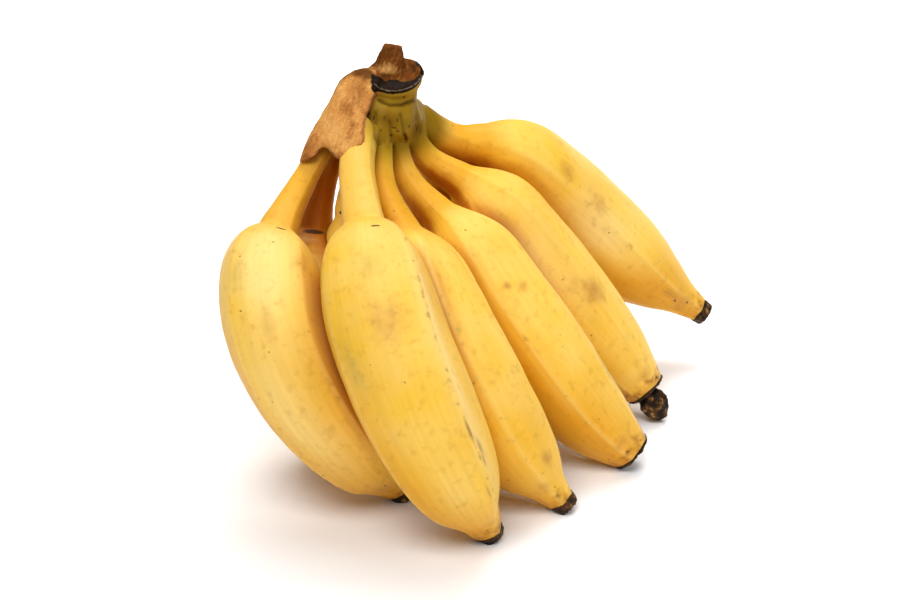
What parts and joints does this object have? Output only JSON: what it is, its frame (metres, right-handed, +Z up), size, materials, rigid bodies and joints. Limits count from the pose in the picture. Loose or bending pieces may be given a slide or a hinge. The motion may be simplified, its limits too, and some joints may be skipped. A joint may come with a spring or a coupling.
{
  "type": "hand of bananas",
  "caption": "Hand of short plump ripe bananas on a corky crown, standing crown up on the tips of its fingers.",
  "frame": {"origin": "on the surface that the hand stands on, under the middle of its box", "axes": "+Z up towards the cut stalk, +Y from the outer row back to the inner row, +X to the right of the outer row"},
  "size_m": [0.1843, 0.1882, 0.1487],
  "materials": {
    "crown": "matte",
    "peel": "satin",
    "flower_end": "matte"
  },
  "bodies": {
    "root": {"crown": "crown", "finger_outer_1": "peel", "finger_outer_2": "peel", "finger_outer_3": "peel", "finger_outer_4": "peel", "finger_outer_5": "peel", "finger_outer_6": "peel", "finger_inner_1": "peel", "finger_inner_2": "peel", "finger_inner_3": "peel", "finger_inner_4": "peel", "flower_end_outer_1": "flower_end", "flower_end_outer_2": "flower_end", "flower_end_outer_3": "flower_end", "flower_end_outer_4": "flower_end", "flower_end_outer_5": "flower_end", "flower_end_outer_6": "flower_end", "flower_end_inner_1": "flower_end", "flower_end_inner_2": "flower_end", "flower_end_inner_3": "flower_end", "flower_end_inner_4": "flower_end"}
  },
  "joints": []
}
